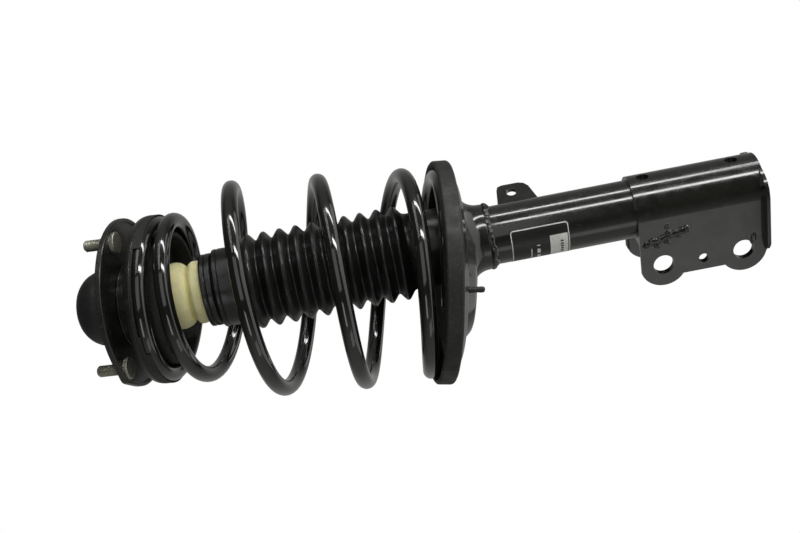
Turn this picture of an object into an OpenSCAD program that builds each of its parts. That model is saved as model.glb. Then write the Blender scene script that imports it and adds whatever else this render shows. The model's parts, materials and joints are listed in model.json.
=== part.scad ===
// MacPherson strut assembly: damper, coil spring, dust boot, top mount and knuckle bracket.
// The damper axis is Z, with the top mount upwards. The knuckle bracket's ears point along +X and
// its bolts run along Y. The origin is the centre of the stud circle, on the mount's seating face.

/* [Top mount] */
// Lean of the mount plate towards -Y, degrees
mount_tilt = 10; // [8:0.5:11]
// Diameter of the circle through the three studs
stud_pcd = 122.5; // [121:0.5:126]
// Diameter of each stud's thread
stud_d = 10; // [8:1:11]
// Length of stud above the mount plate
stud_len = 22; // [16:1:30]
// Direction of the first stud about Z, degrees
stud_phase = 61; // [50:1:74]
// Thickness of the mount plate's sheet
plate_t = 3; // [2.5:0.5:3.5]
// Radius of the plate between its lobes
plate_side_r = 73; // [70:1:74]
// Height of the dust cap above the plate
cap_h = 43; // [40:1:46]

/* [Spring] */
// Diameter of the spring wire
wire_d = 14; // [12:0.5:14.5]
// Mean radius of the free turns
coil_r = 88; // [86:0.5:89]
// Mean radius of the upper end turn
coil_top_r = 65; // [62:0.5:66]
// Mean radius of the lower end turn
coil_low_r = 84; // [83:0.5:84.5]
// Height of the upper end turn's centre line
coil_top_z = -31; // [-32:0.5:-30.5]
// Height of the lower end turn's centre line
coil_low_z = -266.5; // [-267:0.5:-266]
// Turns between the two seats
free_turns = 4.05; // [4:0.01:4.1]
// Offset of the lower seat from the damper axis, along X
seat_x = 26; // [25:0.5:27]

/* [Damper] */
// Outer diameter of the damper tube
tube_d = 50.8; // [50:0.1:51.2]
// Wall of the damper tube
tube_t = 1.8; // [1.5:0.1:2.2]
// Diameter of the piston rod
rod_d = 22; // [20:0.5:22]
// Height of the damper tube's top
tube_top_z = -228; // [-232:1:-226]
// Height of the damper tube's lower end
tube_low_z = -549; // [-550:1:-547]

/* [Knuckle bracket] */
// Thickness of each bracket's sheet
sheet_t = 3; // [2.5:0.5:3]
// Height of the bracket's upper edge
bracket_top_z = -440; // [-442:1:-438]
// Height of the bracket's lower edge
bracket_low_z = -551; // [-553:1:-550]
// Distance of the knuckle bolts from the damper axis
bolt_x = 44.5; // [43:0.5:46]
// Height of the upper knuckle bolt
bolt_z = -459.5; // [-461:0.5:-459]
// Distance between the two knuckle bolts
bolt_pitch = 70; // [69:0.5:71]
// Diameter of the knuckle bolt holes
bolt_d = 18; // [16:0.5:18]

/* [Hidden] */

$fn = 72;
fit = 0.05;          // radial clearance of a running fit
gap = 0.3;           // clearance between a moving face and its neighbour

tube_r = tube_d / 2;
rod_r = rod_d / 2;
wire_r = wire_d / 2;
collar_r = tube_r + sheet_t;
stud_head_r = 9.25;
stud_shank_r = stud_d / 2 + 0.4;
stud_head_h = 4;
hub_r = 34;          // radius of the mount plate's central hole
housing_r = 27;      // outer radius of the bearing housing
housing_z = -12;     // lower edge of the bearing housing
race_r = 24.5;       // outer radius of the bearing
ball_ring_r = 16.5;
ball_r = 3.5;
balls = 12;
bearing_z = -8;      // height of the ball centres
rod_neck_r = 7;      // radius of the rod's threaded end
seat_z = -19;        // top of the upper seat's centre
clamp_z = -2;        // top of the bearing's inner race
mount_roll = 1;
seat_tilt = [9.4, -0.9, 0];
pan_tilt = [0, -10.8, 0];
guide_z = tube_top_z - 4;
piston_z = -390;
cylinder_r = 17.5;
cylinder_bore_r = 16;
cylinder_low_z = tube_low_z + 22;
weld_z = -315;
tab_z = -348;        // centre of the hose bracket
stop_z = -37;        // height of the bump stop's shoulder
label_low_z = -382;
label_h = 50.5;
tab_dir = 257;       // direction of the hose bracket about Z, degrees
nipple_dir = 106;    // direction of the lower insulator's locating nipple, degrees
nipple_at = 66;
tab_hole_r = 4.5;
tab_hole_at = 51;    // distance of the hose bracket's hole from the damper axis

function clamp01(t) = min(1, max(0, t));
function smooth(t) = let (u = clamp01(t)) u * u * (3 - 2 * u);
function mix(a, b, t) = a + (b - a) * t;

// ---------------------------------------------------------------- frames

module mount_frame() rotate([mount_tilt, mount_roll, 0]) children();
module seat_frame() translate([0, 0, coil_top_z]) rotate(seat_tilt) children();
module pan_frame() translate([seat_x, 0, coil_low_z]) rotate(pan_tilt) children();
module at_studs() for (i = [0:2]) rotate(stud_phase + 120 * i) translate([stud_pcd / 2, 0, 0]) children();

// A ring of rectangular section
module ring(r_out, r_in, z0, z1) {
    difference() {
        translate([0, 0, z0]) cylinder(r = r_out, h = z1 - z0);
        translate([0, 0, z0 - 1]) cylinder(r = r_in, h = z1 - z0 + 2);
    }
}

// ---------------------------------------------------------------- top mount

module plate_outline(grow = 0) {
    hull() {
        rotate(210) translate([2.5, 0]) circle(r = plate_side_r + grow, $fn = 64);
        at_studs() circle(r = 13 + grow, $fn = 32);
    }
}

module mount_plate() {
    rim_h = 5;
    hub_h = 12;
    color([0.05, 0.05, 0.05]) mount_frame() difference() {
        union() {
            translate([0, 0, -plate_t]) linear_extrude(plate_t) plate_outline();
            translate([0, 0, -rim_h]) linear_extrude(rim_h) difference() {
                plate_outline();
                plate_outline(-plate_t);
            }
            translate([0, 0, -hub_h]) cylinder(r = hub_r + plate_t, h = hub_h);
        }
        translate([0, 0, -20]) cylinder(r = hub_r, h = 40);
        at_studs() translate([0, 0, -8]) cylinder(r = stud_shank_r, h = 20);
    }
}

module mount_studs() {
    tip = 1.5;
    color([0.62, 0.61, 0.56]) mount_frame() at_studs() {
        translate([0, 0, -plate_t - stud_head_h]) cylinder(r = stud_head_r, h = stud_head_h);
        translate([0, 0, -plate_t]) cylinder(r = stud_shank_r, h = plate_t);
        cylinder(d = stud_d, h = stud_len - tip);
        translate([0, 0, stud_len - tip]) cylinder(r1 = stud_d / 2, r2 = stud_d / 2 - tip, h = tip);
    }
}

module mount_bush() {
    color([0.1, 0.1, 0.1]) difference() {
        mount_frame() translate([0, 0, -12]) cylinder(r = hub_r, h = 12);
        translate([0, 0, -30]) cylinder(r = housing_r, h = 60);
    }
}

module bearing_housing() {
    wall = housing_r - race_r;
    color([0.3, 0.3, 0.3]) union() {
        ring(housing_r, race_r, housing_z, clamp_z);
        ring(housing_r, 19, clamp_z - 2, clamp_z + wall - 2);
    }
}

module ball_groove(r) {
    rotate_extrude() translate([ball_ring_r, bearing_z]) circle(r = r, $fn = 48);
}

module bearing_outer_race() {
    color([0.7, 0.7, 0.72]) difference() {
        ring(race_r, ball_ring_r + 1.6, housing_z, clamp_z - 2);
        ball_groove(ball_r + gap);
    }
}

module bearing_inner_race() {
    color([0.7, 0.7, 0.72]) difference() {
        ring(ball_ring_r - 1.6, rod_neck_r, seat_z, clamp_z);
        ball_groove(ball_r + fit);
    }
}

module bearing_balls() {
    color([0.8, 0.8, 0.82]) for (i = [0:balls - 1])
        rotate(360 / balls * i) translate([ball_ring_r, 0, bearing_z]) sphere(r = ball_r, $fn = 32);
}

module bearing_cage() {
    color([0.55, 0.42, 0.2]) difference() {
        ring(ball_ring_r + 0.8, ball_ring_r - 0.8, bearing_z - 5, bearing_z + 4.5);
        for (i = [0:balls - 1])
            rotate(360 / balls * i) translate([ball_ring_r, 0, bearing_z])
                rotate([0, 90, 0]) cylinder(r = ball_r + 0.1, h = 12, center = true);
    }
}

// Half outline of the cap from its foot to its closed end, set in by d
function cap_line(d) = [
    [33.5 - d, d], [33 - d, cap_h - 20], [31.8 - d, cap_h - 15.5], [29.4 - d * 0.9, cap_h - 10.5],
    [25.5 - d * 0.8, cap_h - 6], [21 - d * 0.6, cap_h - 2.6 - d * 0.6],
    [16 - d * 0.4, cap_h - 0.8 - d * 0.9],
    [11, cap_h - d], [0, cap_h - d]];

module dust_cap() {
    wall = 2;
    inside = cap_line(wall);
    n = len(inside);
    color([0.07, 0.07, 0.07]) mount_frame() rotate_extrude()
        polygon(concat([[33.9, 0], [33.9, wall]], [for (i = [1:n - 1]) cap_line(0)[i]],
            [for (i = [n - 1:-1:1]) inside[i]], [[33.5 - wall, 0]]));
}

// ---------------------------------------------------------------- rod, seat and stops

module piston_rod() {
    neck_top = 18;
    tail_r = 6;
    color([0.75, 0.75, 0.77]) union() {
        translate([0, 0, piston_z - 12]) cylinder(r = tail_r, h = 40);
        translate([0, 0, piston_z + 12]) cylinder(r = rod_r, h = seat_z - 3 - piston_z - 12);
        translate([0, 0, seat_z - 3]) cylinder(r = rod_neck_r, h = neck_top - seat_z + 2);
        translate([0, 0, neck_top - 1]) cylinder(r1 = rod_neck_r, r2 = rod_neck_r - 1, h = 1);
    }
}

module rod_nut() {
    color([0.6, 0.6, 0.58]) difference() {
        union() {
            translate([0, 0, clamp_z + 5]) cylinder(r = 12.7, h = 11, $fn = 6);
            translate([0, 0, clamp_z + 3]) cylinder(r = 13, h = 2);
        }
        cylinder(r = rod_neck_r, h = 20);
    }
}

module rod_washer() {
    color([0.6, 0.6, 0.58]) ring(14.5, rod_neck_r, clamp_z, clamp_z + 3);
}

module upper_spring_seat() {
    t = 3;
    color([0.08, 0.08, 0.08]) difference() {
        union() {
            ring(27, rod_neck_r, seat_z - t, seat_z);
            seat_frame() rotate_extrude() polygon([[20, 9], [26, 8.7], [34, 8.2], [69.5, 8.2],
                [71, 5.2], [73, 5.2],
                [71.5, 11.2], [35, 11.2], [27, 11.7], [20, 12]]);
        }
        translate([0, 0, seat_z]) cylinder(r = 25, h = 10);
        translate([0, 0, seat_z - t - 10]) cylinder(r = 23, h = 10);
    }
}

module upper_insulator() {
    band_r = 73;
    groove_r = wire_r + gap;
    lip = groove_r - 0.1;    // inside of the band below the groove, from the wire's centre
    window = [82, 156];      // directions between which the wire shows
    step = 96;               // direction where the window's step begins
    cut_r = 68;              // radius from which the window is cut
    edge_z = [1.4, 3.6];     // lower edge of the rim at the step and over the window
    color([0.09, 0.09, 0.09]) seat_frame() difference() {
        rotate_extrude() polygon([[48, 8.2], [69.5, 8.2], [70.9, 5], [band_r, 5], [band_r, -2.2],
            [coil_top_r + lip, -2.6], [coil_top_r + lip, 0], [coil_top_r - lip - 0.2, 0], [57.2, -6],
            [57.2, -12.6], [56, -13.4], [53.5, -12.6], [52, -5], [51, 2], [46, 4]]);
        rotate(window[0]) rotate_extrude(angle = step - window[0])
            translate([cut_r, -20]) square([20, 20 + edge_z[0]]);
        rotate(step) rotate_extrude(angle = window[1] - step)
            translate([cut_r, -20]) square([20, 20 + edge_z[1]]);
        rotate_extrude() translate([coil_top_r, 0]) circle(r = groove_r, $fn = 48);
    }
}

module bump_stop() {
    bore = rod_r + gap;
    color([0.85, 0.83, 0.62]) difference() {
        translate([0, 0, stop_z]) rotate_extrude() polygon([[bore, 5], [22, 5], [26, 1], [28.6, -3],
            [29, -7],
            [28, -11.5], [24.5, -16], [22.8, -17.5], [24.5, -19.5], [26.8, -22], [27.3, -25],
            [26.6, -28.5],
            [24.5, -30], [24.5, -45], [21, -48], [23, -53], [21, -58], [17, -66], [bore, -66]]);
        seat_frame() translate([0, 0, 5.5]) cylinder(r = 80, h = 40);
    }
}

module rebound_stop() {
    color([0.2, 0.2, 0.2]) ring(15.4, rod_r, guide_z - 42, guide_z - 30.3);
}

module piston() {
    color([0.5, 0.5, 0.52]) difference() {
        ring(cylinder_bore_r - 0.35, 6, piston_z - 8, piston_z + 9);
        ring(cylinder_bore_r + 1, cylinder_bore_r - 1.2, piston_z - 5, piston_z + 5);
        for (i = [0:5])
            rotate(60 * i) translate([10.8, 0, piston_z - 20]) cylinder(r = 1.6, h = 40);
    }
}

module piston_band() {
    color([0.15, 0.15, 0.15]) ring(cylinder_bore_r - fit, cylinder_bore_r - 1.2, piston_z - 5, piston_z + 5);
}

module piston_shims() {
    color([0.65, 0.67, 0.7]) {
        ring(13.2, 6, piston_z + 9, piston_z + 10.2);
        ring(10.5, 6, piston_z + 10.2, piston_z + 12);
    }
}

module piston_nut() {
    color([0.6, 0.6, 0.58]) difference() {
        translate([0, 0, piston_z - 15]) cylinder(r = 11, h = 7, $fn = 6);
        translate([0, 0, piston_z - 20]) cylinder(r = 6, h = 40);
    }
}

// ---------------------------------------------------------------- damper body

module damper_tube() {
    color([0.05, 0.05, 0.05]) union() {
        ring(tube_r, tube_r - tube_t, tube_low_z, tube_top_z);
        ring(tube_r, tube_r - 5, tube_top_z - 2, tube_top_z);
    }
}

module bottom_cap() {
    r = tube_r - tube_t;
    color([0.06, 0.06, 0.06]) difference() {
        translate([0, 0, tube_low_z + 1]) cylinder(r = r, h = 13);
        translate([0, 0, tube_low_z]) cylinder(r1 = r - 1.5, r2 = r - 6, h = 9);
    }
}

module pressure_cylinder() {
    color([0.6, 0.6, 0.62]) ring(cylinder_r, cylinder_bore_r, cylinder_low_z, guide_z - 18);
}

module base_valve() {
    z = cylinder_low_z - 8;
    stem_r = 3;
    color([0.55, 0.55, 0.5]) difference() {
        union() {
            ring(22, stem_r, z, z + 4);
            ring(cylinder_r, stem_r, z + 4, z + 8);
            ring(cylinder_bore_r, stem_r, z + 8, z + 11.5);
            translate([0, 0, z + 1]) cylinder(r = stem_r, h = 11.5);
        }
        for (i = [0:5])
            rotate(60 * i) translate([10, 0, z - 1]) cylinder(r = 1.8, h = 30);
    }
}

module rod_guide() {
    bush_r = rod_r + 1.5;
    color([0.5, 0.5, 0.52]) union() {
        ring(tube_r - tube_t, bush_r, guide_z - 18, guide_z - 6);
        ring(cylinder_bore_r, bush_r, guide_z - 30, guide_z - 18);
    }
}

module guide_bush() {
    color([0.45, 0.35, 0.2]) ring(rod_r + 1.5, rod_r + fit, guide_z - 30, guide_z - 10);
}

module oil_seal() {
    color([0.12, 0.1, 0.1]) difference() {
        ring(tube_r - tube_t, rod_r + fit, guide_z - 6, guide_z + 1);
        rotate_extrude() translate([15, guide_z + 1]) circle(r = 2, $fn = 32);
    }
}

module closing_ring() {
    color([0.3, 0.3, 0.3]) ring(tube_r - tube_t, rod_r + 3, guide_z + 1, guide_z + 2);
}

// ---------------------------------------------------------------- lower seat

module lower_spring_seat() {
    t = 3;
    neck_z = weld_z + 4;
    color([0.05, 0.05, 0.05]) difference() {
        union() {
            pan_frame() rotate_extrude() polygon([
                [0, -30], [38, -25], [50, -24.5], [60, -15.5], [64, -14], [76, -13.5], [86, -11],
                [90, -8.6],
                [94, -8], [94, -11], [88.5, -11.8], [80, -15.6], [76, -16.5], [65, -17], [62, -18.3],
                [52, -27.6], [38, -28], [24, -31], [0, -34]]);
            translate([0, 0, neck_z]) cylinder(r = tube_r + t, h = 14);
            translate([0, 0, neck_z + 10]) cylinder(r1 = tube_r + t, r2 = tube_r + 9, h = 8);
        }
        translate([0, 0, tube_low_z]) cylinder(r = tube_r, h = tube_top_z - tube_low_z + 50);
        pan_frame() rotate(nipple_dir) translate([nipple_at, 0, -40]) cylinder(r = 2.8, h = 40);
    }
}

module lower_insulator() {
    nipple_r = 2.7;
    color([0.11, 0.11, 0.1]) pan_frame() difference() {
        union() {
            rotate_extrude() polygon([
                [64, -13.95], [76, -13.45], [86, -10.95], [90, -8.55], [94.05, -7.95], [94.4, -10.8],
                [96.8, -10.4],
                [98, -8.4], [97.8, 3.2], [96, 4.6], [94.2, 4.4], [92.4, 0], [86, -6], [70, -6],
                [66, -10]]);
            rotate(nipple_dir) translate([nipple_at, 0, 0]) {
                translate([0, 0, -29]) cylinder(r = nipple_r, h = 18);
                translate([0, 0, -29]) sphere(r = nipple_r, $fn = 32);
            }
        }
        rotate_extrude() translate([coil_low_r, 0]) circle(r = wire_r + gap, $fn = 48);
    }
}

module seat_weld() {
    beads = 7;
    span = 230;
    color([0.05, 0.05, 0.05]) difference() {
        union() {
            translate([0, 0, weld_z - 4]) cylinder(r1 = tube_r + 0.4, r2 = tube_r + 2.6, h = 4);
            translate([0, 0, weld_z]) cylinder(r1 = tube_r + 2.6, r2 = tube_r + 2, h = 4);
            for (i = [0:beads - 1])
                rotate(20 + span / (beads - 1) * i) translate([tube_r + 0.4, 0, weld_z - 0.5])
                    sphere(r = 3.6, $fn = 24);
        }
        translate([0, 0, weld_z - 20]) cylinder(r = tube_r, h = 60);
        translate([0, 0, weld_z + 4]) cylinder(r = 60, h = 20);
    }
}

// ---------------------------------------------------------------- knuckle bracket

// The ears' outline in X and Z, drawn as X across and Z up
module ear_outline() {
    lobe_r = 20.5;
    low_bolt = bolt_z - bolt_pitch;
    waist_x = bolt_x + 12;
    union() {
        translate([-40, bracket_low_z]) square([bolt_x + 40, bracket_top_z - bracket_low_z]);
        translate([bolt_x - 5, low_bolt - 10]) square([waist_x - bolt_x + 5, bolt_pitch + 20]);
        for (z = [bolt_z, low_bolt])
            translate([bolt_x, z]) circle(r = lobe_r);
        polygon([[bolt_x, low_bolt], [bolt_x + 15, low_bolt - 12], [bolt_x + 3, bracket_low_z],
            [bolt_x, bracket_low_z]]);
    }
}

module ear_prism(y0, y1) {
    translate([0, y1, 0]) rotate([90, 0, 0]) linear_extrude(y1 - y0) ear_outline();
}

module knuckle_holes(r) {
    for (z = [bolt_z, bolt_z - bolt_pitch])
        translate([bolt_x, 60, z]) rotate([90, 0, 0]) cylinder(r = r, h = 120);
}

module locating_hole(r) {
    translate([bolt_x + 1, 60, bolt_z - bolt_pitch / 2]) rotate([90, 0, 0]) cylinder(r = r, h = 120);
}

module knuckle_bracket() {
    h = bracket_top_z - bracket_low_z;
    flange_y = collar_r + 8;
    color([0.05, 0.05, 0.05]) difference() {
        union() {
            intersection() {
                translate([0, 0, bracket_low_z]) linear_extrude(h) difference() {
                    union() {
                        circle(r = collar_r);
                        translate([0, -collar_r]) square([80, 2 * collar_r]);
                    }
                    circle(r = tube_r);
                    translate([0, -tube_r]) square([90, 2 * tube_r]);
                }
                ear_prism(-60, 60);
            }
            for (s = [-1, 1])
                mirror([0, s < 0 ? 1 : 0, 0]) translate([0, 0, bracket_low_z]) linear_extrude(sheet_t)
                    polygon([[-24, 14], [-22, 22], [-18, 29.5], [-12, 34.5], [-4, flange_y],
                        [40, flange_y],
                        [46, flange_y - 4], [48, tube_r], [0, tube_r], [-12, 20]]);
        }
        tube_core();
        knuckle_holes(bolt_d / 2);
        locating_hole(4.25);
        for (z = [bracket_top_z - 13, bracket_low_z + 21])
            translate([-60, 0, z]) rotate([0, 90, 0]) cylinder(r = 5.25, h = 60);
    }
}

// The space the damper tube takes
module tube_core() {
    translate([0, 0, tube_low_z - 10]) cylinder(r = tube_r, h = tube_top_z - tube_low_z + 10);
}

module bracket_liner() {
    y = tube_r;
    x0 = 14;
    x1 = 80;
    web = tube_r + sheet_t;
    color([0.05, 0.05, 0.05]) difference() {
        intersection() {
            translate([0, 0, bracket_low_z + 4]) linear_extrude(bracket_top_z - bracket_low_z - 6)
                polygon([[x0, -y], [x1, -y], [x1, sheet_t - y], [web, sheet_t - y], [web, y - sheet_t],
                    [x1, y - sheet_t], [x1, y], [x0, y]]);
            ear_prism(-60, 60);
        }
        tube_core();
        knuckle_holes(bolt_d / 2);
        locating_hole(4.25);
    }
}

module bracket_weld() {
    beads = 6;
    pitch = 7.5;
    color([0.05, 0.05, 0.05]) for (s = [-1, 1])
        difference() {
            for (i = [0:beads - 1])
                translate([16 + 0.8 * (i % 2), s * collar_r, bracket_top_z - 8 - pitch * i])
                    sphere(r = 4.6, $fn = 24);
            translate([-50, s > 0 ? collar_r - 20 : -collar_r, bracket_low_z])
                cube([200, 20, bracket_top_z - bracket_low_z]);
        }
}

module hose_bracket() {
    t = 3.5;
    half = 18;
    tip = 63;
    color([0.05, 0.05, 0.05]) rotate(tab_dir) difference() {
        translate([0, t / 2, 0]) rotate([90, 0, 0]) linear_extrude(t) difference() {
            polygon([[20, tab_z - half], [20, tab_z + half], [34, tab_z + half - 0.5],
                [tip - 6, tab_z + 14.5],
                [tip - 1.5, tab_z + 13], [tip, tab_z + 9], [tip, tab_z - 6], [tip - 2, tab_z - 11],
                [tip - 7, tab_z - 14.5], [34, tab_z - half - 2]]);
            translate([tab_hole_at, tab_z + 2]) circle(r = tab_hole_r);
        }
        tube_core();
    }
}

module tube_label() {
    film = 0.2;
    color([0.08, 0.08, 0.08]) rotate(-8) rotate_extrude(angle = 128)
        translate([tube_r, label_low_z]) square([film, label_h]);
}

// ---------------------------------------------------------------- spring and boot

top_dead = 0.66;     // turns from the wire's upper end to where the free turns are counted from
low_dead = 0.6;      // turns from the end of the free turns to the wire's lower end
settle = 0.173;      // turns in which the wire passes below its own upper end
lead_in = 0.911;
lead_out = 0.8;
rest_turns = 0.1;    // turns already lying on the lower seat
end_drop = [13.3, 14.3];  // height of each end turn, a little under one wire
coil_steps = 34;     // rings in each turn of the wire
coil_sides = 12;
coil_start = 334;    // direction in which the free turns start, degrees

// Share of the free height used up at turn x, with a soft start and end
function climb(x) =
    let (n = free_turns - settle - rest_turns,
        u = x - settle,
        a = clamp01(u / lead_in),
        b = clamp01((u - n + lead_out) / lead_out))
    (lead_in * a * a / 2 + max(0, min(u, n - lead_out) - lead_in) + lead_out * (b - b * b / 2))
        / (n - lead_in / 2 - lead_out / 2);

// Centre line of the wire at turn x, counted downwards
function coil_point(x) =
    let (k = climb(x),
        turn = coil_start - 360 * x,
        sx = mix(tan(-seat_tilt[1]), tan(-pan_tilt[1]), k),
        sy = mix(tan(seat_tilt[0]), tan(pan_tilt[0]), k),
        lean = sx * cos(turn) + sy * sin(turn),
        r = mix(mix(coil_top_r, coil_r, smooth((x - 0.6) / 0.8)), coil_low_r,
            smooth((x - free_turns + 0.7) / 0.5)) / norm([1, lean]),
        z = mix(coil_top_z - end_drop[0], coil_low_z + end_drop[1], k)
            + end_drop[0] * (1 - smooth((x + 0.2) / 0.55))
            - end_drop[1] * smooth((x - free_turns + 0.45) / 0.5))
    [seat_x * pow(k, 1.15) + r * cos(turn), r * sin(turn), z + lean * r];

function unit(v) = v / norm(v);

function coil_ring(x) =
    let (p = coil_point(x),
        t = unit(coil_point(x + 0.002) - coil_point(x - 0.002)),
        side = unit(cross(t, [0, 0, 1])),
        up = cross(side, t))
    [for (j = [0:coil_sides - 1]) let (a = 360 / coil_sides * j)
        p + wire_r * (cos(a) * side + sin(a) * up)];

module coil_spring() {
    first = -top_dead;
    last = free_turns + low_dead;
    n = round((last - first) * coil_steps);
    rings = [for (i = [0:n]) coil_ring(first + (last - first) * i / n)];
    points = [for (r = rings) for (p = r) p];
    sides = [for (i = [0:n - 1]) for (j = [0:coil_sides - 1])
        let (a = i * coil_sides + j, b = i * coil_sides + (j + 1) % coil_sides)
        [a, b, b + coil_sides, a + coil_sides]];
    caps = [[for (j = [coil_sides - 1:-1:0]) j], [for (j = [0:coil_sides - 1]) n * coil_sides + j]];
    color([0.04, 0.04, 0.04]) polyhedron(points, concat(sides, caps));
}

boot_top_z = -67;
boot_peak_z = -110.4;
boot_pitch = 14.16;
boot_folds = 10;
boot_peak_r = 41.6;
boot_valley_r = 34;
boot_low_z = -283;
boot_t = 1.4;

// Outer outline of the folds, from the upper collar down to the skirt
function boot_line(d) = concat(
    [[31.6 - d, boot_top_z], [31.6 - d, boot_top_z - 10], [30 - d, boot_top_z - 10.7],
    [34 - d, boot_top_z - 11.4],
        [34 - d, boot_top_z - 20], [boot_valley_r - d, boot_peak_z + 7.4]],
    [for (i = [0:boot_folds - 1]) each [
        [boot_peak_r - d, boot_peak_z - boot_pitch * i],
        [boot_valley_r - d, boot_peak_z - boot_pitch * (i + 0.5)]]],
    [[33 - d, boot_peak_z - boot_pitch * boot_folds + 2], [33 - d, boot_low_z]]);

module dust_boot() {
    outer = boot_line(0);
    inner = boot_line(boot_t);
    n = len(inner);
    color([0.06, 0.06, 0.06]) union() {
        rotate_extrude() polygon(concat(outer, [for (i = [n - 1:-1:0]) inner[i]]));
        ring(31.6 - boot_t / 2, 24.8, boot_top_z - 3, boot_top_z);
    }
}

mount_plate();
mount_studs();
mount_bush();
bearing_housing();
bearing_outer_race();
dust_cap();
piston_rod();
rod_nut();
rod_washer();
bearing_inner_race();
bearing_balls();
bearing_cage();
upper_spring_seat();
upper_insulator();
bump_stop();
rebound_stop();
piston();
piston_band();
piston_shims();
piston_nut();
damper_tube();
bottom_cap();
pressure_cylinder();
base_valve();
rod_guide();
guide_bush();
oil_seal();
closing_ring();
lower_spring_seat();
lower_insulator();
seat_weld();
knuckle_bracket();
bracket_liner();
bracket_weld();
hose_bracket();
tube_label();
coil_spring();
dust_boot();
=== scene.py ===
"""Looks of the strut assembly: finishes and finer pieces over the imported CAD, studio light and camera."""
import json
import math

import bmesh
import bpy
from mathutils import Matrix, Vector, noise

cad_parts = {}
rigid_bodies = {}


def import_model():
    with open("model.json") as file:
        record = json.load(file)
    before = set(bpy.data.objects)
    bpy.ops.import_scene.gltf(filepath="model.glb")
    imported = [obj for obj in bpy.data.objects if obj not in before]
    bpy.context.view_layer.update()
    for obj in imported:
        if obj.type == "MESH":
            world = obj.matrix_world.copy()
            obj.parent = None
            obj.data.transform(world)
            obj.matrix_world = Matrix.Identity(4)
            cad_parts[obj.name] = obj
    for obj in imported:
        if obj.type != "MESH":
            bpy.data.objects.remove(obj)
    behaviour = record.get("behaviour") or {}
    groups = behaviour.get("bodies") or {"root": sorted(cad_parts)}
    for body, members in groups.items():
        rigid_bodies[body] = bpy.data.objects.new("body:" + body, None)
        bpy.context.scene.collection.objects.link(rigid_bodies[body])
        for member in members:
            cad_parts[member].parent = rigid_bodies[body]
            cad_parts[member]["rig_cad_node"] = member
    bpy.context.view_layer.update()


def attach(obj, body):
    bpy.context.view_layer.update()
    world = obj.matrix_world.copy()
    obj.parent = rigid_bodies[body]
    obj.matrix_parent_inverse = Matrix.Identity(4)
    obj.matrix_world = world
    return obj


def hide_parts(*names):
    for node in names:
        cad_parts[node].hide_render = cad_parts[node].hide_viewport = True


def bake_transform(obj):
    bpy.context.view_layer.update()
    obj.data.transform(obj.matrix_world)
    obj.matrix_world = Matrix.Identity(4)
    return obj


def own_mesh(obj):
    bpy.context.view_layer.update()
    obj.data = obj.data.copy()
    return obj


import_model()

MM = 0.001

# ---------------------------------------------------------------- driving sizes, mm and degrees

STUD_PCD = 122.5  # circle through the three studs
STUD_R = 5.0
STUD_LEN = 22.0
STUD_PHASE = 61.0  # direction of the first stud
PLATE_T = 3.0
STUD_HEAD_R = 9.25
STUD_HEAD_H = 4.0
THREAD_PITCH = 1.5
THREAD_DEPTH = 0.75
WIRE_R = 7.0  # spring wire
COIL_TOP_R = 65.0  # spring's radius on its upper seat
COIL_R = 88.0  # radius of the free turns
COIL_LOW_R = 84.0  # radius on the lower seat
COIL_TOP_Z = -31.0
COIL_LOW_Z = -266.5
FREE_TURNS = 4.05
SEAT_X = 26.0  # offset of the lower seat's centre
SEAT_TILT = (9.4, -0.9)
PAN_TILT = (0.0, -10.8)
MOUNT_TILT = (10.0, 1.0)
TOP_DEAD = 0.66  # turns before the free ones
LOW_DEAD = 0.6  # turns after the free ones
SETTLE = 0.173  # turns before the wire starts to climb
LEAD_IN = 0.911  # turns over which the climb builds up
LEAD_OUT = 0.8  # turns over which it dies away
REST_TURNS = 0.1  # turns lying flat at the lower end
END_DROP = (13.3, 14.3)  # how far the end turns drop into the seats
COIL_START = 334.0  # direction where the free turns start
TUBE_R = 25.4
TUBE_T = 1.8
TUBE_TOP = -228.0
TUBE_LOW = -549.0
COLLAR_R = 28.4
BRACKET_TOP = -440.0
BRACKET_LOW = -551.0
BOLT_X = 44.5
WELD_Z = -315.0  # height of the weld under the lower seat
ROD_NECK_R = 7.0
UPPER_SEAT_Z = -19.0  # top of the upper seat's hub
BOOT_TOP = -67.0
BOOT_LOW = -283.0
BOOT_T = 1.4
BOOT_PEAK_Z = -110.4
BOOT_PITCH = 14.16
BOOT_FOLDS = 10
BOOT_PEAK_R = 41.6
BOOT_VALLEY_R = 34.0
STOP_Z = -37.0  # height from which the bump stop's profile is drawn
ROD_R = 11.0
CAP_H = 43.0  # height of the dust cap
LABEL_LOW = -382.0
LABEL_H = 50.5
LABEL_FROM = -8.0  # direction of the label's first edge
LABEL_ARC = 128.0  # angle that the label covers


def tilted(at, tilt):
    turn = Matrix.Rotation(math.radians(tilt[1]), 4, "Y") @ Matrix.Rotation(math.radians(tilt[0]), 4, "X")
    return Matrix.Translation(Vector(at) * MM) @ turn


AXIS = Matrix.Identity(4)
MOUNT = tilted((0, 0, 0), MOUNT_TILT)
SEAT = tilted((0, 0, COIL_TOP_Z), SEAT_TILT)
PAN = tilted((SEAT_X, 0, COIL_LOW_Z), PAN_TILT)

# ---------------------------------------------------------------- materials


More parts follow.
